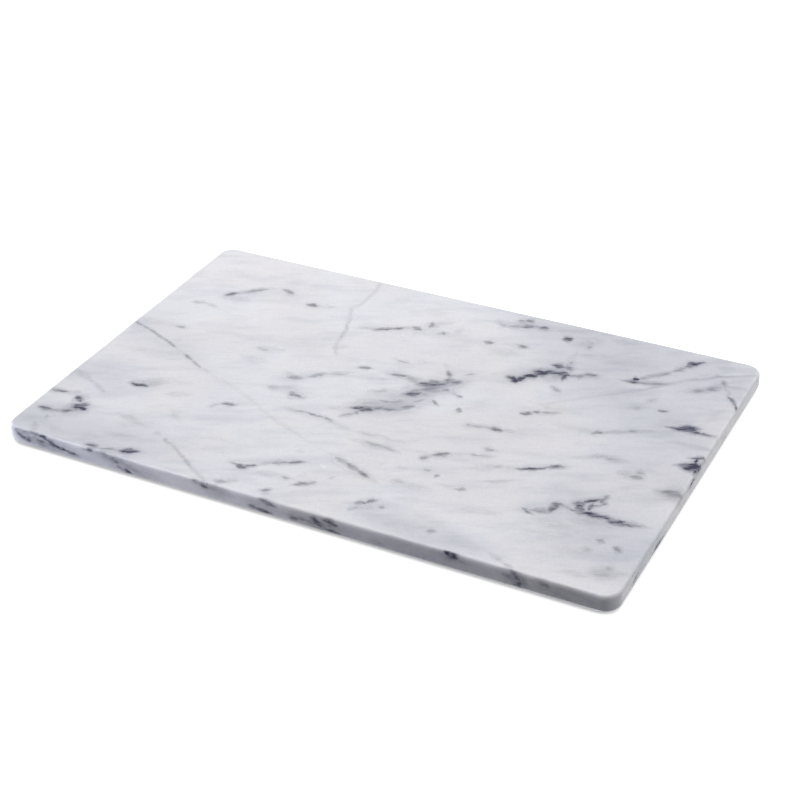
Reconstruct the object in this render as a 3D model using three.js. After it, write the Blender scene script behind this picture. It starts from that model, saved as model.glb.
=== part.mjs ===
// Marble pastry board: a polished stone slab with rounded corners and eased edges,
// standing on four moulded non-slip feet, each stuck to the underside with its own adhesive disc.
// Millimetres, +Z up. The origin is the middle of the board, on the surface that the feet stand on.
// +X runs along the long side and -Y faces the front.
import * as THREE from "three";

// Slab
const SLAB_LENGTH = 460;
const SLAB_WIDTH = 300;
const SLAB_THICKNESS = 13;
const SLAB_CORNER_RADIUS = 12;
const SLAB_EDGE_ROUND = 3;

// Feet, measured at the base that is stuck to the slab and at the face that meets the worktop
const FOOT_BASE_DIAMETER = 16;
const FOOT_CONTACT_DIAMETER = 14;
const FOOT_HEIGHT = 1.5;
const FOOT_RIM_ROUND = 0.5;
const FOOT_INSET = 28;

// Adhesive discs, cut a little smaller than the base of the foot
const ADHESIVE_MARGIN = 0.75;
const ADHESIVE_THICKNESS = 0.3;

// Facets of the curved faces; a corner's arc gets two facets for each of its divisions
const CORNER_DIVISIONS = 6;
const EDGE_FACETS = 6;
const RIM_FACETS = 5;
const FOOT_FACETS = 36;

// Heights of the faces that meet, from the worktop up
const ADHESIVE_BOTTOM = FOOT_HEIGHT;
const SLAB_BOTTOM = ADHESIVE_BOTTOM + ADHESIVE_THICKNESS;

const marble = new THREE.MeshStandardMaterial({ color: 0xdedee4, roughness: 0.3, metalness: 0 });
const footRubber = new THREE.MeshStandardMaterial({ color: 0xd4d6d4, roughness: 0.55, metalness: 0 });
const adhesive = new THREE.MeshStandardMaterial({ color: 0xf1efe6, roughness: 0.85, metalness: 0 });

// Outline of the slab seen from above: a rectangle with an arc at each corner.
function slabOutline() {
  const halfLength = SLAB_LENGTH / 2;
  const halfWidth = SLAB_WIDTH / 2;
  const cornerX = halfLength - SLAB_CORNER_RADIUS;
  const cornerY = halfWidth - SLAB_CORNER_RADIUS;
  const quarter = Math.PI / 2;
  const outline = new THREE.Shape();
  outline.moveTo(-cornerX, -halfWidth);
  outline.lineTo(cornerX, -halfWidth);
  outline.absarc(cornerX, -cornerY, SLAB_CORNER_RADIUS, -quarter, 0);
  outline.lineTo(halfLength, cornerY);
  outline.absarc(cornerX, cornerY, SLAB_CORNER_RADIUS, 0, quarter);
  outline.lineTo(-cornerX, halfWidth);
  outline.absarc(-cornerX, cornerY, SLAB_CORNER_RADIUS, quarter, 2 * quarter);
  outline.lineTo(-halfLength, -cornerY);
  outline.absarc(-cornerX, -cornerY, SLAB_CORNER_RADIUS, 2 * quarter, 3 * quarter);
  return outline;
}

// The slab is sawn to the outline, then its top and bottom edges are ground to a small round.
function slabGeometry() {
  const geometry = new THREE.ExtrudeGeometry(slabOutline(), {
    depth: SLAB_THICKNESS - 2 * SLAB_EDGE_ROUND,
    curveSegments: CORNER_DIVISIONS,
    bevelThickness: SLAB_EDGE_ROUND,
    bevelSize: SLAB_EDGE_ROUND,
    bevelOffset: -SLAB_EDGE_ROUND,
    bevelSegments: EDGE_FACETS,
  });
  return geometry.translate(0, 0, SLAB_EDGE_ROUND);
}

// A foot is turned from a profile: flat contact face, rounded rim, side tapering out to the base.
function footGeometry() {
  const contactRadius = FOOT_CONTACT_DIAMETER / 2;
  const baseRadius = FOOT_BASE_DIAMETER / 2;
  const side = new THREE.Vector2(baseRadius - contactRadius, FOOT_HEIGHT).setLength(FOOT_RIM_ROUND);
  const profile = new THREE.Path();
  profile.moveTo(0, 0);
  profile.lineTo(contactRadius - FOOT_RIM_ROUND, 0);
  profile.quadraticCurveTo(contactRadius, 0, contactRadius + side.x, side.y);
  profile.lineTo(baseRadius, FOOT_HEIGHT);
  profile.lineTo(0, FOOT_HEIGHT);
  const geometry = new THREE.LatheGeometry(profile.getPoints(RIM_FACETS), FOOT_FACETS);
  return geometry.rotateX(Math.PI / 2);
}

// An adhesive disc is die-cut from sheet, so it is a plain flat cylinder.
function adhesiveGeometry() {
  const radius = FOOT_BASE_DIAMETER / 2 - ADHESIVE_MARGIN;
  const geometry = new THREE.CylinderGeometry(radius, radius, ADHESIVE_THICKNESS, FOOT_FACETS);
  return geometry.rotateX(Math.PI / 2).translate(0, 0, ADHESIVE_THICKNESS / 2);
}

function piece(name, geometry, material, height) {
  const mesh = new THREE.Mesh(geometry, material);
  mesh.name = name;
  mesh.position.z = height;
  return mesh;
}

// A foot and its adhesive disc, stacked under one corner of the slab.
function cornerSupport(corner, x, y) {
  const support = new THREE.Group();
  support.add(piece(`foot_${corner}`, footGeometry(), footRubber, 0));
  support.add(piece(`adhesive_disc_${corner}`, adhesiveGeometry(), adhesive, ADHESIVE_BOTTOM));
  support.position.set(x, y, 0);
  return support;
}

const board = new THREE.Group();
board.add(piece("marble_slab", slabGeometry(), marble, SLAB_BOTTOM));

const footX = SLAB_LENGTH / 2 - FOOT_INSET;
const footY = SLAB_WIDTH / 2 - FOOT_INSET;
board.add(cornerSupport("front_left", -footX, -footY));
board.add(cornerSupport("front_right", footX, -footY));
board.add(cornerSupport("back_left", -footX, footY));
board.add(cornerSupport("back_right", footX, footY));

export default board;
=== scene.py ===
import math
import bmesh
import bpy
from mathutils import Matrix, Vector


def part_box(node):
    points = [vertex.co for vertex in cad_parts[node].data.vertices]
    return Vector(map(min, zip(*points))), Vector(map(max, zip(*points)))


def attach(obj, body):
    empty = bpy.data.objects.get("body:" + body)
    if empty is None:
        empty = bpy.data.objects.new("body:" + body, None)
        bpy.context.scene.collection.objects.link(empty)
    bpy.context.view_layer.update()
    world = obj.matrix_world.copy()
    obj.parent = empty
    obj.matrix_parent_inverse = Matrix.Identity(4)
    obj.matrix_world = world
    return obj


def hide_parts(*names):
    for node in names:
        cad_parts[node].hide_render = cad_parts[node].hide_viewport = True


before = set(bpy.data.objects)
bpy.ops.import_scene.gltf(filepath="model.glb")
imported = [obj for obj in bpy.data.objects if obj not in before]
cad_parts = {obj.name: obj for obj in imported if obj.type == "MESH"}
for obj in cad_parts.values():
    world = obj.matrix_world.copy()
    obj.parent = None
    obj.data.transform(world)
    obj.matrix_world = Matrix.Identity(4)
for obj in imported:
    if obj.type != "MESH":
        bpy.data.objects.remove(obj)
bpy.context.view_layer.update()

# The slab: one piece of white marble with grey-blue veins, sawn from a block with a round at each
# corner. Its edges are eased top and bottom and the whole is polished. All else is stuck beneath it.
slab_low, slab_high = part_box("marble_slab")
slab_size = slab_high - slab_low
corner_radius = .012
corner_segments = 20
edge_round = .003
edge_segments = 9
slab_smooth_angle = math.radians(40)


def choose_edges(piece, wanted):
    """Selects just those edges of the piece in edit mode whose two ends pass the test."""
    bpy.ops.mesh.select_mode(type="EDGE")
    bpy.ops.mesh.select_all(action="DESELECT")
    shape = bmesh.from_edit_mesh(piece.data)
    for edge in shape.edges:
        edge.select_set(wanted(edge.verts[0].co, edge.verts[1].co))
    bmesh.update_edit_mesh(piece.data)


bpy.ops.object.select_all(action="DESELECT")
bpy.ops.mesh.primitive_cube_add(size=1, location=(slab_low + slab_high) / 2, scale=slab_size)
slab = bpy.context.object
slab.name = "polished_slab"
bpy.ops.object.transform_apply(location=True, rotation=True, scale=True)
bpy.ops.object.mode_set(mode="EDIT")
choose_edges(slab, lambda start, end: abs(end.z - start.z) > edge_round)
bpy.ops.mesh.bevel(offset=corner_radius, segments=corner_segments, affect="EDGES", clamp_overlap=False)
choose_edges(slab, lambda start, end: abs(end.z - start.z) < edge_round)
bpy.ops.mesh.bevel(offset=edge_round, segments=edge_segments, affect="EDGES", clamp_overlap=False)
bpy.ops.mesh.select_all(action="SELECT")
bpy.ops.mesh.normals_make_consistent(inside=False)
bpy.ops.object.mode_set(mode="OBJECT")
bpy.ops.object.shade_smooth_by_angle(angle=slab_smooth_angle)
bpy.ops.object.modifier_add(type="WEIGHTED_NORMAL")
bpy.ops.object.modifier_apply(modifier=slab.modifiers[0].name)


class Shade:
    """A socket of a material's nodes. Sums and products of shades add Math nodes beside it."""

    def __init__(self, tree, socket):
        self.tree = tree
        self.socket = socket

    def node(self, kind, settings, sockets, output=0):
        """Adds any node, its settings first, then its sockets' values or links, and gives an output."""
        made = self.tree.nodes.new("ShaderNode" + kind)
        for name, value in settings.items():
            setattr(made, name, value)
        for socket, value in sockets.items():
            if isinstance(value, Shade):
                self.tree.links.new(value.socket, made.inputs[socket])
            else:
                made.inputs[socket].default_value = value
        return Shade(self.tree, made.outputs[output])

    def maths(self, operation, first, second):
        return self.node("Math", {"operation": operation}, {0: first, 1: second})

    def __add__(self, other):
        return self.maths("ADD", self, other)

    def __radd__(self, other):
        return self.maths("ADD", other, self)

    def __sub__(self, other):
        return self.maths("SUBTRACT", self, other)

    def __rsub__(self, other):
        return self.maths("SUBTRACT", other, self)

    def __mul__(self, other):
        return self.maths("MULTIPLY", self, other)

    def __rmul__(self, other):
        return self.maths("MULTIPLY", other, self)

    def vectors(self, operation, *parts):
        return self.node("VectorMath", {"operation": operation}, dict(enumerate(parts)))

    def parts(self):
        """The three parts of this vector, as values."""
        split = self.node("SeparateXYZ", {}, {0: self}).socket.node
        return [Shade(self.tree, output) for output in split.outputs]

    def noise(self, size, detail, output="Fac"):
        """Noise on this place, with lumps of about that size in millimetres."""
        sockets = {"Vector": self, "Scale": 1 / size, "Detail": detail}
        return self.node("TexNoise", {"noise_dimensions": "3D"}, sockets, output)

    def ramp(self, low, high, start, end):
        """Eases from start to end as this value goes from low to high."""
        sockets = {0: self, 1: low, 2: high, 3: start, 4: end}
        return self.node("MapRange", {"interpolation_type": "SMOOTHSTEP"}, sockets)

    def blend(self, first, second):
        """The first colour where this value is 0, and the second where it is 1."""
        return self.node("Mix", {"data_type": "RGBA"}, {0: self, 6: first, 7: second}, 2)

    def into(self, shader, socket):
        self.tree.links.new(self.socket, shader.inputs[socket])


def start_material(name):
    """A new material, its shader, and the place on the piece in millimetres to build patterns on."""
    material = bpy.data.materials.new(name)
    material.use_nodes = True
    tree = material.node_tree
    place = Shade(tree, tree.nodes.new("ShaderNodeTexCoord").outputs["Object"])
    return material, tree.nodes["Principled BSDF"], place.vectors("MULTIPLY", place, (1000, 1000, 1000))


def colour(red, green, blue):
    """A colour as a screen shows it, from 0 to 255, as the linear light that a shader takes."""
    shares = [part / 255 for part in (red, green, blue)]
    return [share / 12.92 if share <= .04 else ((share + .055) / 1.055) ** 2.4 for share in shares] + [1]


# The veins, drawn one by one as strokes on the top of the slab: start x and y, end x and y, half-width
# and darkness, in millimetres from the middle of the board, with x to the right and y to the back.
left_back_veins = [
    (-187, 77.5, -178, 84.5, 2.2, .62), (-181, 82, -162, 98, 2.6, .41), (-186, 75, -165, 76, 4, .07),
    (-148, 104, -138, 101, 2.4, .5), (-120, 91.5, -111, 91, 2.2, .5), (-112, 92, -98, 96, 2, .1),
    (-204, 57.5, -195, 60, 1.7, .38), (-190, 59, -184, 58, 2, .08), (-195, 19, -188, 20.5, 2, .3),
    (-121, 18.5, -112, 16.5, 1.9, .24),
]
left_front_veins = [
    (-179, -65, -166, -63.5, 2.4, .7), (-170, -62, -160, -52, 4, .14),
    (-105, -61.5, -95, -59, 1.8, .55), (-111, -68, -106, -63, 1.6, .24), (-227, -66, -208, -75, 2, .17),
    (-198, -80, -188, -84, 2, .1), (-158, -104, -150, -104, 2, .17), (-127, -113, -123, -113, 2.5, .1),
    (-136, -141, -124, -138.5, 2.6, .8), (-150, -146, -137, -141, 1.2, .3),
    (-161, -145, -152, -145.5, 1.8, .65), (-160, -149, -153, -150, 1.8, .5),
]
front_corner_cluster = [
    (-228, -97.5, -213, -95, 2.2, .55), (-214, -95.5, -205, -91.5, 2, .24),
    (-203, -96, -198, -100, 3, .7), (-200, -107, -190, -103, 3, .7), (-199, -107, -188, -110, 3, .75),
    (-198, -105, -195, -113, 3, .7), (-196, -112, -202, -118, 2, .5),
    (-203, -118, -212, -121, 1.8, .36), (-220, -120.5, -210, -119, 2.3, .75),
    (-209, -128, -207, -128, 1.5, .24),
]
middle_back_veins = [
    (-65, 77, -54, 80, 2, .14), (-55, 78.5, -40, 86.5, 2, .55), (-42, 85, -35.5, 91, 1.8, .54),
    (-35, 91, -29, 94, 2, .14), (-29, 95, -19.5, 93, 1.9, .52), (-18, 106, -16.5, 100, 2.5, .5),
    (-15, 106, -8, 109, 2, .1), (-5.5, 96.5, -2.5, 93, 2.3, .48), (3, 104, 7, 104, 3, .14),
    (30, 96, 37, 98, 2, .5), (54, 103, 62, 102.5, 2.2, .48), (31, 127, 34, 125, 2, .3),
    (26, 131, 33, 126, 2, .14), (36, 125.5, 48, 130, 2, .3), (47, 130, 57, 134, 2.2, .6),
    (57, 133.5, 61, 134.5, 2, .24), (60, 134, 66, 135.5, 2.2, .54), (46, 141.5, 51, 140, 2.5, .55),
    (41, 137, 47, 138.5, 2.5, .41),
]
middle_cluster = [
    (-14, 26.5, 0, 29, 2.2, .5), (0, 28.5, 14, 23, 3, .24), (13, 22.5, 30, 31, 3.2, .72),
    (27, 36, 38, 35, 2.6, .54), (28, 38, 32, 32, 2.2, .5), (23, 48, 29, 39, 1.6, .46),
    (19, 56, 22, 52, 1.5, .18), (37, 47, 44, 51.5, 1.5, .4), (18, 17, 28, 20, 5, .3),
    (30, 22, 36, 22.5, 1.5, .42), (43, 20.5, 48, 18.5, 1.6, .48), (9, 6, 17, 12, 3, .72),
    (19, 12, 24, 12, 1.5, .26), (4, 13, 8, 14, 2, .14), (18, -1, 28.5, 6.5, 1.3, .34),
    (30, 6.5, 37, 1, 1.4, .5), (52, 2, 55, 2, 2.4, .5), (-10, 4, -5, 5, 2.2, .24),
    (-16, -1, -10, 2, 2, .14), (-38, 24, -30, 26.5, 1.8, .5), (-17, 45.2, -8.5, 44.8, 1.6, .4),
    (-22, 46.5, -16, 46, 2, .1), (-1, 48.5, 3, 50.5, 2, .16), (-15, -26, -3, -24, 3, .75),
    (-11, -24, -5, -20, 2.5, .5), (-5, -20, 5, -18, 2, .42), (4, -19, 15, -16, 1.8, .38),
    (13, -17, 18, -12, 2, .24), (16, -11, 21, -6, 2.4, .46), (-13, -30, -10, -33, 1.7, .48),
    (-12, -32, -20, -40, 1.6, .34), (-5.5, -9.5, 4, -7.7, 1.3, .34), (3, -8, 14, -2.5, 1.3, .34),
    (-16, -15, -4, -14, 5, .18), (66, -11, 69, -13, 2, .34), (36, -30, 40, -29.5, 2, .1),
    (-32, -33, -28, -31, 2, .08), (36, 22.5, 45, 19.4, 1.2, .26), (68, -12.6, 80, -9.5, 1.2, .24),
    (79, -9.5, 85, -9.5, 1.2, .3), (72, -49.5, 84, -45.8, 1.2, .16), (87, -45, 99, -39, 1.3, .22),
    (-15.5, -2.5, -6, 4, 1.5, .2),
]
middle_left_veins = [
    (-65, -1, -55, 6, 2.5, .36), (-56, 5, -42, 14, 2.5, .18), (-79, -11, -68, -6.5, 2.2, .36),
    (-84, -3, -75, -7, 2, .14), (-66, -3, -60, 1.5, 2, .36), (-84, -27, -78, -24, 2, .3),
    (-78, -24, -68, -18, 2, .17), (-67, -26, -62, -28.5, 2.4, .48), (-62, -28, -55, -29.5, 2, .54),
    (-66, -31, -60, -32, 2, .18), (-56, -46.5, -40, -45.5, 1.4, .38), (-41, -45, -34, -48, 1.3, .5),
    (-35, -47, -28, -46, 1.2, .48), (-28, -46.5, -22, -49.5, 1.3, .46), (-22, -49, -2, -54, 2, .1),
    (0, -54, 22, -50.5, 2, .14), (10, -60.5, 26, -60.7, 1.5, .22), (24, -60.7, 38, -62.8, 1.5, .22),
]
middle_front_veins = [
    (62, -57, 71, -50, 2.2, .5), (55, -63, 61, -60, 2.6, .42), (63, -74.5, 68, -73, 1.4, .46),
    (73, -78, 75, -78, 1.8, .54), (50, -95.5, 58, -94, 2, .24), (58, -95, 76, -95, 2, .06),
    (-34, -110.5, -22, -104.5, 1.7, .5), (-24, -106, -13, -100.5, 1.8, .48),
    (-42, -118, -33, -110, 1.2, .26), (-58, -121.5, -46, -122.5, 1.7, .6),
    (-54, -122, -46, -123.5, 2, .8), (-49, -123, -41, -118, 1.6, .68),
    (-36, -124, -20, -121.5, 1.8, .17), (-18, -123, -12, -121.5, 1.7, .36),
    (-8, -128.5, 2, -119.5, 1.9, .55), (0, -121, 3.5, -117, 1.8, .36),
    (-24, -142, -18, -139.5, 2.2, .5), (-56, -146, -50, -143, 1.8, .42), (-51, -143, -44, -140, 2, .18),
    (39, -127, 46, -124.5, 1.7, .6), (46, -124, 51, -118, 1.8, .5), (56.5, -125, 59, -123.5, 1.4, .5),
    (39, -133.5, 43, -132.5, 1.8, .34), (40, -130, 52, -128, 2, .1), (10, -109, 14, -107.5, 1.6, .22),
    (-9, -115, -5, -115, 2, .1), (-25, -90, -21, -90, 2, .08),
]
big_dark_vein = [
    (65.5, 58.8, 72, 57.5, 2.1, .85), (71, 59.5, 74.5, 53, 2.5, .82), (73, 57, 79, 63, 2.5, .82),
    (77, 64, 85, 69, 3, .85), (80, 72, 88, 75, 3, .8), (84, 70, 90, 77, 3, .85),
    (86, 77, 97, 79, 2.6, .7), (95, 79, 105, 79, 2.6, .75), (101, 81, 104, 71, 2, .65),
    (91, 87.5, 98, 88.5, 3.3, .74), (97, 88.5, 104, 90, 2.5, .6), (100, 92, 104, 86, 2.2, .55),
    (100, 100, 102, 92, 1.6, .26), (92, 75, 102, 75, 6, .24), (104, 79, 112, 80.5, 2, .3),
    (111, 80, 116, 81, 1.8, .48), (116, 83, 125, 87.5, 2, .48), (54, 58, 58, 58, 2, .08),
]
right_back_veins = [
    (82.5, 125.5, 88, 128, 2.9, .74), (102, 123, 105, 122, 2, .3), (100, 129, 106, 130, 2, .1),
    (101, 60, 107, 55, 1.8, .43), (94, 17, 101, 18, 1.8, .6), (101, 22, 106, 23.5, 1.7, .58),
    (107, 24.5, 118, 28, 1.5, .3), (106, 31, 109, 32, 1.5, .26), (148, 15, 156, 17, 2, .54),
    (140, 14, 150, 15, 2, .08), (155, 17, 171, 27, 1.3, .17), (171, 27, 176, 30.5, 1.5, .36),
    (176, 31, 188, 36, 1.5, .18), (144, 89, 153, 92, 1.8, .6), (149, 94, 152, 95, 2.6, .8),
    (152, 91, 165, 93, 1.4, .24), (163, 92, 175, 97, 1.8, .26), (153, 96, 166, 107, 1.6, .22),
    (166, 107, 172, 114, 1.5, .26), (173, 116, 179, 124, 1.8, .5), (178, 124, 183, 131, 1.9, .55),
    (180, 130, 185, 133, 2.3, .8), (183, 133, 190, 138, 1.8, .65), (202, 121.5, 207, 124, 2, .3),
    (203, 103, 209, 109, 2.4, .36), (195, 98, 200, 99.5, 2, .24), (209, 118, 214, 111, 1.6, .38),
    (214, 110, 220, 99, 1.3, .14), (219, 99, 227, 91, 1.6, .6), (225, 93, 229, 87, 1.6, .65),
    (180, 62, 187, 63, 1.8, .52), (164, 57, 168, 58, 2, .14), (170, 72, 174, 72, 2, .1),
]
right_edge_wedge = [
    (195, 44, 217, 46.5, 1.8, .75), (200, 45.5, 213, 51, 2.2, .78), (204, 46.5, 215, 47, 2.6, .85),
    (209, 51.5, 212, 47, 1.9, .7), (212, 46, 226, 46.5, 1.5, .55), (220, 46.5, 231, 46.5, 1.2, .24),
]
right_edge_patch = [
    (216, 3.5, 232, 10, 2.5, .88), (216.5, 3, 231, 1, 2.5, .88), (221, 5, 233, 6, 3.6, .88),
    (229, -3, 229.5, 13, 2.2, .85), (221, 14, 232, 19, 1.6, .8), (224.5, 16.5, 225.5, 7, 1.5, .78),
    (219, 14, 223, 15, 2, .24),
]
right_front_veins = [
    (83, -8.5, 92, -9.5, 2.2, .7), (91, -8.5, 104, -4, 2, .14), (91, -34, 96, -32, 2.4, .38),
    (83, -45, 88, -44, 2, .24), (88, -44, 98, -40, 2, .14), (120, -46.5, 133, -39.5, 1.8, .65),
    (132, -40, 137, -37, 1.3, .54), (135, -37, 147, -30, 2, .68), (105, -51, 110, -49, 1.6, .3),
    (98, -59, 106, -51, 2, .1), (110, -48.5, 119, -46.5, 2, .1), (112, -68, 123, -60, 1.6, .1),
    (160, -10, 168, -7.5, 1.8, .24), (170, -10, 178, -10, 2, .22), (194, -17, 198, -16, 2, .29),
    (192, -22, 198, -23, 2, .31), (183, -21, 187, -21, 2, .08), (216, -31, 233, -28.5, 4.6, .54),
    (92, -85, 99, -82.5, 1.6, .42), (197, -98, 202, -99, 1.6, .43), (209, -101, 215, -103.5, 2, .48),
    (192, -110, 197, -109.5, 2, .17), (96, -135, 101, -133, 1.9, .36), (213, -122, 218, -122.5, 2, .24),
    (207, -128, 218, -130, 4, .14), (190, -136, 205, -136, 2, .08), (143, -140, 152, -144, 1.3, .24),
    (152, -144, 163, -150, 1.3, .24),
]
star_vein = [
    (169, -68, 176, -65, 2.2, .85), (173, -66, 184, -55, 1.7, .68), (183, -57, 186.5, -50, 1.4, .48),
    (183, -57, 188, -61, 1.8, .55), (187, -61, 180, -66, 1.5, .5), (181, -62, 180, -71, 1.5, .68),
    (170, -67, 178, -73, 2, .75), (171, -74.5, 199, -73.5, 2.4, .82), (188, -74, 211, -74.5, 2.1, .78),
    (195, -75.5, 210, -73.5, 1.8, .6), (204, -74, 221, -71, 1.9, .38), (173, -68, 181, -68, 5, .24),
    (157.5, -82, 161, -73, 1.7, .62), (157, -74.5, 163, -72, 1.7, .6), (162, -73, 174, -76, 2, .26),
    (147, -87, 158, -82, 1.8, .46), (140, -86.5, 150, -91, 1.4, .54),
]


def fissure(points, half_width, darkness):
    """Strokes end to end through the points, for a healed crack that runs far across the stone."""
    return [(*start, *end, half_width, darkness) for start, end in zip(points, points[1:])]


back_fissure = (
    fissure([(-84.5, 149), (-82, 138), (-81, 130), (-82, 120), (-81, 110), (-85.5, 100)], 1.3, .17)
    + fissure([(-85.5, 100), (-82, 92), (-77.5, 84), (-76.5, 76)], 1.2, .2)
    + fissure([(-76.5, 76), (-73, 70), (-72.5, 64), (-71, 56)], 1.3, .28)
    + fissure([(-71, 56), (-70.5, 50), (-69, 44), (-66, 38), (-62, 33)], 1.2, .17)
)
left_fissure = (
    fissure([(-228, 12), (-218, 9), (-210, 6.5), (-202, 3)], 1.3, .36)
    + fissure([(-202, 3), (-195, -.5), (-188, -3), (-179, -7.5)], 1.2, .45)
    + fissure([(-165, -14.5), (-158, -18)], 1.3, .48)
    + fissure([(-155, -20), (-145, -25.5)], 1.2, .4)
    + fissure([(-146, -25), (-118, -34), (-95, -45), (-80, -53)], 1.6, .03)
    + fissure([(-80, -53), (-55, -66), (-28, -76), (0, -85)], 1.6, .03)
    + fissure([(3, -86), (15, -90.5)], 1.7, .3)
    + fissure([(14, -90), (24, -94), (34, -98.5)], 2, .5)
    + fissure([(32, -98), (40, -100)], 1.4, .12)
)
right_fissure = (
    fissure([(106.5, 37), (120, 49), (138, 63.5), (150, 74)], 1.5, .1)
    + fissure([(150, 74), (161.5, 83.5), (173, 95), (184, 107.5)], 1.4, .16)
    + fissure([(184, 107.5), (194, 113.5), (204, 121.5), (217, 128.5), (229, 136)], 1.4, .22)
)
front_fissure = (
    fissure([(-116, -116.5), (-112, -119.5), (-107, -121), (-99, -126)], 1.2, .32)
    + fissure([(-99, -126), (-90, -132), (-82, -137.5)], 1.2, .32)
    + fissure([(-82, -137.5), (-74, -142), (-64, -147.5), (-60, -150)], 1.3, .2)
)

# Past the outline of the top lies the part of the block that shows on the right and back faces.
beyond_right_face = [
    (240.2, -111, 238.4, -105, 1.8, .75), (238.8, -108, 237.8, -95, 2.4, .36),
    (233.6, -12, 232.8, -4, 1.9, .8), (240.5, -74, 243, -52, 2.2, .75), (237, -76, 241, -60, 3, .3),
    (230, 0, 231, 12, 1.6, .6), (240, -20, 242, -17, 3, .25), (236, 62, 241, 70, 2, .4),
]
beyond_back_face = [
    (-204, 158, -188, 163, 2.2, .5), (-120, 153, -98, 160, 2, .35), (-40, 156, -28, 164, 2.4, .6),
    (22, 152, 44, 158, 1.8, .3), (92, 157, 112, 165, 2.6, .65), (170, 153, 186, 160, 2, .4),
]
top_veins = (
    left_back_veins + left_front_veins + front_corner_cluster + middle_back_veins + middle_cluster
    + middle_left_veins + middle_front_veins + big_dark_vein + right_back_veins + right_edge_wedge
    + right_edge_patch + right_front_veins + star_vein + beyond_right_face + beyond_back_face
)
# Veins that the saw cut across at the front face, as strokes on it: x, and depth below the top.
front_face_veins = [
    (-208, .1, -199, .8, 1.2, .8), (-200, .7, -191, 3.4, 1.3, .8), (-193, 2.9, -184, 5.7, 1.5, .85),
    (-186, 5.3, -176, 7.4, 1.5, .85), (-178, 7, -166, 9, 1.3, .7), (-218, 3, -210, 7, 1.7, .85),
    (-212, 6.2, -206, 8.2, 1.5, .7), (-204, 4.6, -188, 6.3, 1.5, .65), (-159, -.3, -154, 1.4, 1.4, .6),
    (-149, .3, -138, 2.7, 1.3, .5), (-140, 2.2, -131, 5, 1.5, .75), (-134, 7, -127, 9.2, 1.3, .65),
    (-130, 8.8, -122, 10.1, 1.4, .85), (-72, 1.5, -66, 2.6, 1.3, .5), (-67, 2.5, -60, 3.4, 1.6, .7),
    (-61, .4, -60.7, 4.6, 1, .5), (-20, 1, -8, 3.1, 1.4, .6), (-29, 8, -21, 9, 1.4, .6),
    (-24, 8.7, -11, 9.5, 1.5, .8), (2, 8.9, 11, 7.9, 1.5, .6), (9, 8, 17, 6.6, 1.4, .55),
    (18, 3.5, 27, 5.8, 1.7, .75), (20, 5.6, 27, 8.6, 1.5, .65), (29, 3.1, 38, 4.6, 1.9, .9),
    (23, 7.4, 33, 9.6, 1.4, .7), (29, 9.3, 41, 10.2, 1.4, .75), (62, 7, 72, 9, 1.6, .25),
    (115, .7, 124.5, 2.6, 2.2, .97), (100, 9.8, 104, 11, 1.3, .3), (160, -.2, 164.5, 3, 1.7, .6),
    (163.5, 2.4, 167, 7, 1.8, .75), (167.2, 6.4, 165.5, 10.2, 1.7, .75), (162, 9.6, 168, 10.8, 1.3, .7),
    (178, 2.3, 188, 4.6, 2.4, .5),
]
front_face_haze = [
    (-219, 5, -172, 7.5, 3.5, .5), (-224, 1.5, -199, 2.5, 2.4, .4), (-147, 2, -112, 8.5, 3.5, .4),
    (-128, 6, -100, 8, 3, .2), (-68, 3, -44, 5, 3, .33), (-30, 5, -5, 7, 3, .2),
    (0, 6.5, 45, 7, 3.5, .42), (108, 2.5, 132, 5, 3.2, .3), (155, 4, 172, 7.5, 4, .5),
    (172, 5, 218, 6, 4, .28), (80, 6, 150, 7, 5, .12),
]
# Smoky streaks that trail from the veins and link them, wide and faint.
left_back_smoke = [
    (-187, 73, -165, 78, 3, .12), (-172, 93, -156, 102, 2.5, .14), (-215, 95, -190, 102, 4, .05),
    (-196, 60, -180, 57, 3, .09), (-228, 17, -182, 21, 4, .1), (-180, 22, -100, 33, 3, .06),
    (-112, 30, -72, 43, 8, .07), (-126, 2, -104, 2, 4, .1), (-122, 17, -100, 24, 3, .1),
    (-150, 116, -140, 122, 5, .05), (-192, 106, -180, 119, 5, .04), (-60, 125, -51, 131, 5, .06),
    (-41, 115, -30, 113, 3, .08), (-26, 118, -14, 122, 4, .06), (-70, 40, -62, 48, 4, .08),
    (-58, 3, -38, 16, 2.5, .12), (-40, 10, -8, 19, 3, .1), (-15, 106, -3, 113, 2.5, .14),
    (-120, 91, -97, 96, 2.5, .09), (-165, 80, -120, 92, 3, .04), (-66, 76, -30, 93, 3, .12),
]
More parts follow.
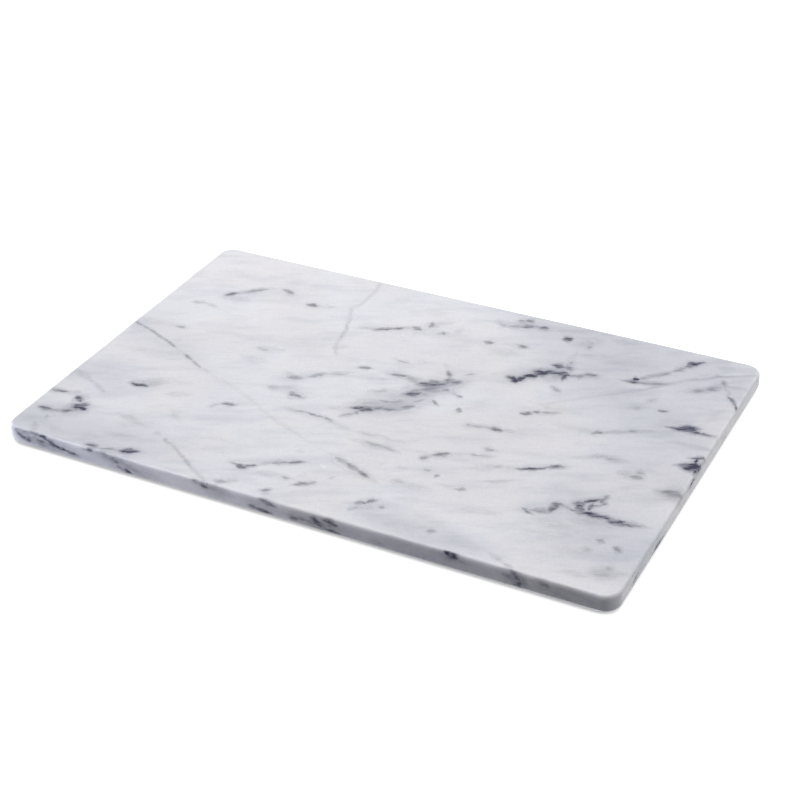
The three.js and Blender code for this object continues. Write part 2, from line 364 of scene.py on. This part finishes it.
right_back_smoke = [
    (70, 137, 105, 145, 4, .08), (94, 121, 109, 133, 6, .13), (86, 129, 110, 136, 3, .09),
    (118, 140, 136, 144, 4, .09), (99, 108, 114, 112, 3, .1), (112, 108, 152, 118, 8, .05),
    (97, 92, 99, 112, 3, .1), (74, 87, 96, 94, 6, .08), (104, 33, 130, 34, 4, .1),
    (60, 48, 80, 53, 3, .05), (122, 15, 150, 17, 4, .08), (150, 16, 192, 38, 2, .12),
    (198, 28, 230, 30, 2.5, .13), (160, 56, 171, 64, 4, .1), (168, 67, 175, 77, 2.5, .1),
    (184, 40, 200, 56, 6, .06), (148, 90, 176, 97, 3, .28), (154, 96, 172, 114, 2.2, .22),
    (189, 92, 209, 106, 3.5, .2), (215, 60, 222, 82, 3, .06), (160, 138, 174, 146, 4, .07),
    (188, 140, 206, 146, 3, .12), (199, 135, 211, 138, 4, .09), (217, 121, 229, 127, 4, .09),
    (204, 112, 230, 114, 2, .1), (28, 92, 62, 90, 5, .06), (0, 90, 28, 93, 5, .05),
    (38, 101, 66, 102, 3, .1), (24, 128, 66, 136, 3.5, .12), (104, 76, 127, 88, 3, .16),
    (95, 18, 122, 29, 2.5, .12), (66, 62, 106, 82, 8, .12), (8, 8, 42, 40, 9, .24),
    (-12, 24, 20, 26, 4, .16), (18, 40, 34, 52, 4, .08),
]
left_front_smoke = [
    (-216, -25, -172, -16, 4, .06), (-216, -55, -194, -52, 3, .07), (-168, -63, -152, -50, 3, .14),
    (-155, -50, -138, -48, 3, .06), (-147, -67, -130, -60, 2.5, .14), (-106, -63, -78, -50, 2.2, .1),
    (-136, -30, -114, -36, 2, .06), (-102, -40, -78, -53, 2, .05), (-70, -58, -24, -78, 2, .05),
    (-22, -78, 2, -70, 2.5, .06), (-116, -90, -84, -75, 5, .05), (-162, -103, -138, -109, 2.5, .12),
    (-208, -74, -188, -85, 2, .12), (-156, -128, -138, -124, 3, .13), (-132, -84, -118, -93, 3, .08),
    (-106, -105, -58, -100, 3, .05), (-62, -130, -24, -124, 3, .07), (-42, -127, -10, -122, 2, .1),
    (-212, -137, -204, -146, 3, .15), (-222, -135, -184, -140, 5, .06), (-22, -30, 26, -2, 8, .22),
    (-12, -4, 24, 10, 7, .18), (-84, -12, -50, 8, 4, .12), (-86, -28, -52, -22, 4, .08),
    (-212, -122, -184, -104, 6, .14), (-152, -147, -122, -138, 3, .14), (-60, -120, -12, -101, 3, .12),
    (-60, -47, -18, -48, 3, .12),
]
right_front_smoke = [
    (2, -53, 38, -50, 2, .1), (2, -62, 38, -63, 2.5, .14), (38, -59, 58, -55, 2, .07),
    (46, -80, 52, -78, 3, .08), (22, -86, 36, -79, 2.5, .07), (46, -97, 78, -94, 4, .1),
    (60, -112, 78, -106, 3, .07), (84, -46, 101, -39, 2, .13), (92, -59, 108, -49, 2, .12),
    (104, -71, 126, -59, 1.8, .13), (104, -104, 130, -99, 2.5, .12), (78, -86, 99, -83, 2, .1),
    (148, -19, 166, -8, 2.5, .12), (163, -9, 184, -9, 2.5, .14), (184, -22, 199, -21, 3.5, .2),
    (155, -94, 178, -93, 4, .1), (153, -108, 180, -101, 2.5, .08), (175, -118, 198, -111, 5, .08),
    (176, -84, 212, -76, 5, .14), (204, -133, 223, -124, 6, .16), (188, -138, 207, -135, 3, .1),
    (204, -45, 228, -39, 5, .06), (184, -46, 202, -29, 3, .07), (78, -120, 132, -136, 6, .07),
    (58, -141, 102, -130, 8, .08), (116, -48, 150, -29, 3.5, .14), (64, -12, 104, -7, 3, .1),
    (0, -85, 40, -101, 4, .12), (36, -129, 62, -119, 5, .1), (138, -90, 166, -71, 4, .14),
]
smoky_streaks = left_back_smoke + right_back_smoke + left_front_smoke + right_front_smoke
# Clouds of cooler, greyer stone, drawn with wide soft strokes.
cool_clouds = [
    (50, 140, 250, 100, 70, .5), (110, 90, 230, 30, 60, .45), (170, 10, 260, -20, 50, .3),
    (170, -60, 260, -130, 60, .55), (30, -135, 150, -140, 18, .4), (-250, 20, -150, -20, 26, .4),
    (-250, -70, -150, -60, 30, .35), (-250, -130, -90, -135, 36, .45), (-10, -35, 40, 40, 16, .5),
    (-90, -10, -60, -30, 14, .2), (60, 55, 110, 90, 18, .4), (140, -90, 200, -60, 18, .35),
]


# A stroke reaches a little past its two ends, by shares of its run and half-width. Its middle stays at full
# darkness until the fade, which starts from above full, gets there. Empty strokes fill up the last three.
run_share, tip_share = .56, .4
fade_start = 1.2
no_stroke = (0, 0, 1, 0, 1, 0)


def draw_strokes(across_board, up_board, strokes, spread, skirt):
    """The darkest of the strokes at a place. A stroke is a lens with pointed ends, darkest along its
    middle and fading over a skirt some half-widths wide. A vector's parts work out three at a time."""
    darkest = across_board.node("CombineXYZ", {}, {})
    for first in range(0, len(strokes), 3):
        three_strokes = (strokes[first:first + 3] + 2 * [no_stroke])[:3]
        lengthways, sideways, peak = [], [], []
        for x0, y0, x1, y1, half_width, darkness in three_strokes:
            run = Vector((x1 - x0, y1 - y0))
            half_length = run.length * run_share + half_width * tip_share
            run.normalize()
            middle_x, middle_y = (x0 + x1) / 2, (y0 + y1) / 2
            lengthways.append((run.x, run.y, -run.x * middle_x - run.y * middle_y, half_length))
            sideways.append((-run.y, run.x, run.y * middle_x - run.x * middle_y, half_width * spread))
            peak.append(math.sqrt(darkness))
        reach = []
        for line in (lengthways, sideways):
            by_x, by_y, constant = [[part[i] / part[3] for part in line] for i in range(3)]
            share = up_board.vectors("MULTIPLY_ADD", up_board, by_y, constant)
            reach.append(up_board.vectors("MULTIPLY_ADD", across_board, by_x, share))
        along, aside = reach
        outward = up_board.vectors("MULTIPLY_ADD", along, along, up_board.vectors("ABSOLUTE", aside))
        full = [fade_start * p for p in peak]
        shade = up_board.vectors("MULTIPLY_ADD", outward, [-f / skirt for f in full], full)
        darkest = up_board.vectors("MAXIMUM", darkest, up_board.vectors("MINIMUM", shade, peak))
    one, two, three = darkest.parts()
    darkest = darkest.maths("MAXIMUM", darkest.maths("MAXIMUM", one, two), three)
    return darkest * darkest


marble, polish, place = start_material("veined_white_marble")
slab_top = slab_high.z * 1000
front_face = slab_low.y * 1000
true_y, true_z = place.parts()[1:]
depth = slab_top - true_z
on_front = true_y.ramp(front_face + 1, front_face + 3, 1, 0)
on_top = 1 - on_front * depth.ramp(1, 3.5, 0, 1)

# Noise bends the strokes, with lumps of each size that shift them so far, in millimetres. Veins bend in
# full, smoke in part and cracks least. All of them slant as they go down into the stone.
bends = [(14, 5), (6, 3), (2.6, 2.2)]
smoke_bend, crack_bend = .6, .3
dip_across, dip_up = 1.3, 1.2
bent = place
for size, shift in bends:
    bent = place.vectors("MULTIPLY_ADD", place.noise(size, 1, "Color"), 3 * [shift], bent)
bent = place.vectors("SUBTRACT", bent, 3 * [sum(shift for size, shift in bends) / 2])
eased, calm = [
    place.vectors("MULTIPLY_ADD", bent, 3 * [share], place.vectors("MULTIPLY", place, 3 * [1 - share]))
    for share in (smoke_bend, crack_bend)
]


def slanted(spot):
    """Where the vein that runs through this spot comes out at the top, across the board and up it."""
    across, up = spot.parts()[:2]
    return across + depth * dip_across, up + depth * dip_up


cracks = back_fissure + left_fissure + right_fissure + front_fissure
front_strokes = front_face_veins + front_face_haze
calm_x, calm_z = calm.parts()[::2]
plan_x, plan_y = slanted(bent)
veins = draw_strokes(plan_x, plan_y, top_veins, spread=1.27, skirt=2.2) * on_top
fissures = draw_strokes(*slanted(calm), cracks, spread=.85, skirt=3) * on_top
front_veins = draw_strokes(calm_x, slab_top - calm_z, front_strokes, spread=1.45, skirt=2.2) * on_front
smoke = draw_strokes(*slanted(eased), smoky_streaks, spread=1.2, skirt=1.9) * on_top
clouds = draw_strokes(plan_x, plan_y, cool_clouds, spread=1, skirt=1.4)

# The stone lies in beds at an angle across the board. Their grain tears the veins and streaks the ground.
bed_angle = math.radians(24)
bed_stretch = 3.6
bed_lie = {"Vector": place, "Rotation": (0, 0, bed_angle), "Scale": (bed_stretch, 1, 1)}
bedding = place.node("Mapping", {"vector_type": "TEXTURE"}, bed_lie)
torn = bedding.noise(3, 3).ramp(.3, .7, .75, 1.4)
veins = veins.maths("MAXIMUM", veins, veins.maths("MAXIMUM", fissures, front_veins))
veins = veins.maths("MINIMUM", (smoke + veins - smoke * veins) * torn, 1)
drift = place.noise(60, 4).ramp(.35, .7, 0, .2)
streaks = bedding.noise(10, 3).ramp(.42, .75, 0, .34)
wisps = bedding.noise(3.5, 2).ramp(.5, .8, 0, .16)
coolness = clouds + drift + streaks + wisps

# The ground goes from white to a cooler grey, with a fine grain. Veins take the polish a little less well.
white_stone, warm_stone = colour(229, 230, 236), colour(232, 230, 233)
cool_stone, vein_stone = colour(199, 201, 211), colour(34, 38, 72)
polish_roughness, patch_roughness, vein_roughness = .2, .1, .16
grit_strength, grit_height = .05, .00005
pale_stone = place.noise(70, 2).ramp(.4, .62, 0, 1).blend(white_stone, warm_stone)
grain = place.noise(1.1, 2).ramp(.3, .7, .97, 1.03)
ground = place.vectors("MULTIPLY", coolness.blend(pale_stone, cool_stone), grain)
veins.blend(ground, vein_stone).into(polish, "Base Color")
patches = place.noise(30, 3) * patch_roughness
(veins * vein_roughness + patches + polish_roughness).into(polish, "Roughness")
polish.inputs["IOR"].default_value = 1.5
grit = place.noise(.8, 2)
grit_bump = {"Strength": grit_strength, "Distance": grit_height, "Height": grit}
grit.node("Bump", {}, grit_bump).into(polish, "Normal")
slab.data.materials.append(marble)
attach(slab, "root")
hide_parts("marble_slab")

# The feet: four low pads of frosted polyurethane rubber, moulded with a tapered side and a rounded
# rim, one near each corner of the underside so that the board neither slides nor scratches.
corners = ["front_left", "front_right", "back_left", "back_right"]
foot_contact_share = 14 / 16
foot_rim_round = .0005
foot_rim_segments = 5
foot_base_ease = .00012
foot_base_segments = 2
foot_sides = 72
foot_smooth_angle = math.radians(30)
foot_low, foot_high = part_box("foot_" + corners[0])
foot_size = foot_high - foot_low
foot_middle = (foot_low + foot_high) / 2


def at_height(height):
    """A test for edges that lie wholly at one height, to a hundredth of a millimetre."""
    return lambda start, end: max(abs(start.z - height), abs(end.z - height)) < .00001


bpy.ops.object.select_all(action="DESELECT")
bpy.ops.mesh.primitive_cylinder_add(
    vertices=foot_sides, radius=foot_size.x / 2, depth=foot_size.z, location=foot_middle
)
first_foot = bpy.context.object
bpy.ops.object.transform_apply(location=True, rotation=True, scale=True)
bpy.ops.object.mode_set(mode="EDIT")
choose_edges(first_foot, at_height(foot_low.z))
bpy.ops.transform.resize(value=(foot_contact_share, foot_contact_share, 1))
bpy.ops.mesh.bevel(offset=foot_rim_round, segments=foot_rim_segments, affect="EDGES", clamp_overlap=False)
choose_edges(first_foot, at_height(foot_high.z))
bpy.ops.mesh.bevel(offset=foot_base_ease, segments=foot_base_segments, affect="EDGES", clamp_overlap=False)
bpy.ops.mesh.select_all(action="SELECT")
bpy.ops.mesh.normals_make_consistent(inside=False)
bpy.ops.object.mode_set(mode="OBJECT")
bpy.ops.object.shade_smooth_by_angle(angle=foot_smooth_angle)

rubber, rubber_skin, place = start_material("frosted_foot_rubber")
clean_rubber, scuffed_rubber = colour(216, 217, 218), colour(198, 199, 199)
frost = place.noise(.35, 3)
scuffs = place.noise(2.5, 4).ramp(.5, .75, 0, 1)
(scuffs * .5 + frost * .3).blend(clean_rubber, scuffed_rubber).into(rubber_skin, "Base Color")
(frost * .2 + scuffs * .12 + .36).into(rubber_skin, "Roughness")
frost_bump = {"Strength": .25, "Distance": .00003, "Height": frost}
frost.node("Bump", {}, frost_bump).into(rubber_skin, "Normal")
first_foot.data.materials.append(rubber)

feet = [first_foot]
for corner in corners[1:]:
    low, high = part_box("foot_" + corner)
    bpy.ops.object.select_all(action="DESELECT")
    first_foot.select_set(True)
    bpy.context.view_layer.objects.active = first_foot
    bpy.ops.object.duplicate(linked=False)
    copied_foot = bpy.context.object
    copied_foot.location = (low + high) / 2 - foot_middle
    bpy.ops.object.transform_apply(location=True, rotation=True, scale=True)
    feet.append(copied_foot)
for corner, foot in zip(corners, feet):
    foot.name = "rubber_foot_" + corner
    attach(foot, "root")
    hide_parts("foot_" + corner)

# The adhesive discs: cream acrylic foam, die-cut a little smaller than the feet, which they hold to the
# stone. The plain discs of the frame have the right shape, so they stay and take only a finish.
foam, foam_skin, place = start_material("cream_adhesive_foam")
fresh_foam, smeared_foam = colour(241, 239, 230), colour(222, 217, 200)
cells = place.noise(.25, 2)
smears = place.noise(4, 3).ramp(.45, .75, 0, 1)
(cells * .4 + smears * .4).blend(fresh_foam, smeared_foam).into(foam_skin, "Base Color")
(cells * .15 - smears * .2 + .75).into(foam_skin, "Roughness")
cell_bump = {"Strength": .4, "Distance": .00005, "Height": cells}
cells.node("Bump", {}, cell_bump).into(foam_skin, "Normal")
for corner in corners:
    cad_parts["adhesive_disc_" + corner].material_slots[0].material = foam

# The floor: a plain white sweep that keeps the board's shadow, with a shade where they nearly touch. It is
# bright to the eye and in the polish, and a little more so far off, but sends little light back up, as
# when lamps are screened from it. From below it is clear, so that the underside can be lit and seen.
floor_size = 12
contact_reach = .008
contact_glow, open_glow, far_glow = .3, .9, .1
far_start, far_end = .8, 3
paper_paint, screened_paper = (.45, .45, .45, 1), (.07, .07, .092, 1)


def rays(tree, *kinds):
    """For each kind of ray, a value that is 1 where such a ray looks at the material and 0 elsewhere."""
    path = tree.nodes.new("ShaderNodeLightPath")
    return [Shade(tree, path.outputs[f"Is {kind} Ray"]) for kind in kinds]


bpy.ops.object.select_all(action="DESELECT")
bpy.ops.mesh.primitive_plane_add(size=floor_size, location=(0, 0, 0))
floor = bpy.context.object
floor.name = "studio_floor"
floor.visible_shadow = False
sweep = bpy.data.materials.new("white_sweep")
sweep.use_nodes = True
sweep.cycles.emission_sampling = "NONE"
sweep_nodes = sweep.node_tree.nodes
sweep_nodes.clear()
to_eye, in_polish, through_glass = rays(sweep.node_tree, "Camera", "Glossy", "Transmission")
seen = to_eye.maths("MAXIMUM", to_eye.maths("MAXIMUM", to_eye, in_polish), through_glass)
openness = seen.node("AmbientOcclusion", {"samples": 16}, {"Distance": contact_reach}, "AO")
contact_shade = openness.ramp(.13, .57, contact_glow, open_glow)
spot = Shade(sweep.node_tree, sweep_nodes.new("ShaderNodeTexCoord").outputs["Object"])
off_middle = spot.node("VectorMath", {"operation": "LENGTH"}, {0: spot}, "Value")
far = off_middle.ramp(far_start, far_end, 0, far_glow)
strength = seen.maths("MAXIMUM", contact_shade, in_polish * open_glow) + far
paint = seen.node("BsdfDiffuse", {}, {"Color": paper_paint})
glow = seen.node("Emission", {}, {"Color": (1, 1, 1, 1), "Strength": strength})
bright = seen.node("AddShader", {}, {0: paint, 1: glow})
dull = seen.node("BsdfDiffuse", {}, {"Color": screened_paper})
lit = seen.node("MixShader", {}, {0: seen, 1: dull, 2: bright})
from_below = seen.node("NewGeometry", {}, {}, "Backfacing")
clear = seen.node("BsdfTransparent", {}, {})
surface = seen.node("MixShader", {}, {0: from_below, 1: lit, 2: clear})
surface.into(sweep_nodes.new("ShaderNodeOutputMaterial"), "Surface")
floor.data.materials.append(sweep)

# The lamps: one big softbox above lights the board, and smaller ones and white cards round it fill the
# faces or show as gleams along the polished edges. Low strips light the front and left faces but not the
# top, and two lamps shine up through the floor at the underside.
strip_level, strip_height = .007, .012


def softbox(name, place, size, watts, aim=(0, 0, 0), height=None):
    """A lamp with a diffuser that faces the point it is aimed at: square, or a strip of that height."""
    bpy.ops.object.light_add(type="AREA", location=place)
    lamp = bpy.context.object
    lamp.name = name
    lamp.data.shape = "RECTANGLE" if height else "SQUARE"
    lamp.data.size = size
    lamp.data.size_y = height or size
    lamp.data.energy = watts
    lamp.visible_camera = False
    lamp.rotation_euler = (Vector(place) - Vector(aim)).to_track_quat("Z", "Y").to_euler()
    return lamp


softbox("key_softbox", (-.05, .5, 1.6), 1.8, 28.3)
softbox("front_left_softbox", (-.8, -.7, 1.2), .5, 4)
softbox("back_left_card", (-1.2, 1.7, .7), 1, 4)
right_fill = softbox("right_fill", (1.6, -.1, .7), .8, 7)
cool_fill = softbox(
    "cool_fill", (-.5, -.45, strip_level), .16, 1.5, aim=(-.2, -.15, strip_level), height=strip_height
)
cool_fill.data.color = (.88, .89, 1)
left_card = softbox(
    "left_card", (-1.1, .1, strip_level), .6, 4, aim=(0, 0, strip_level), height=strip_height
)
left_card.data.color = (1, .97, .91)
for unmirrored in (right_fill, cool_fill, left_card):
    unmirrored.visible_glossy = False
high_left_card = softbox("high_left_card", (-1.35, -.05, 1.6), .8, 5.5)
back_right_card = softbox("back_right_card", (1.14, 1.98, .74), 1.5, 10)
for gleam_only in (high_left_card, back_right_card):
    gleam_only.visible_diffuse = False
softbox("under_table_softbox", (0, 0, -.9), 1.6, 8)
softbox("underside_lamp", (0, 0, -1.2), .28, 4)

# The air round the board: white to the eye, nearly dark as a light, and in the polish white near the
# horizon only, as the walls of a white room are, so that grazing gleams fade out into the background.
wall_foot, wall_head = .12, .4
dim_air, white_air = (.018, .018, .025, 1), (1, 1, 1, 1)
world = bpy.data.worlds.new("studio_air")
bpy.context.scene.world = world
world.use_nodes = True
world_nodes = world.node_tree.nodes
to_eye, in_polish = rays(world.node_tree, "Camera", "Glossy")
look = Shade(world.node_tree, world_nodes.new("ShaderNodeTexCoord").outputs["Generated"])
rise = look.parts()[2]
horizon = in_polish * rise.ramp(wall_foot, wall_head, 1, 0)
air = to_eye.maths("MAXIMUM", to_eye, horizon).blend(dim_air, white_air)
air.into(world_nodes["Background"], "Color")
bpy.context.scene.view_settings.view_transform = "Standard"

# The camera stands where the photograph was taken from: right of the middle, looking down at the board.
# Its lens, place and tilt are those at which the slab's outline falls on the one in the photograph.
image_width = 801
focal_pixels = 1756.6
turn, height_angle, roll = (math.radians(angle) for angle in (27.682, 32.295, -1.436))
distance = 1.28143
aim = Vector((-.001007, .017637, slab_high.z - .015))
sight_line = Matrix.Rotation(turn, 4, "Z") @ Matrix.Rotation(math.pi / 2 - height_angle, 4, "X")
stand_back = Matrix.Translation((0, 0, distance)) @ Matrix.Rotation(roll, 4, "Z")
bpy.ops.object.camera_add()
camera = bpy.context.object
camera.data.sensor_width = 36
camera.data.lens = focal_pixels * camera.data.sensor_width / image_width
camera.matrix_world = Matrix.Translation(aim) @ sight_line @ stand_back
bpy.context.scene.camera = camera
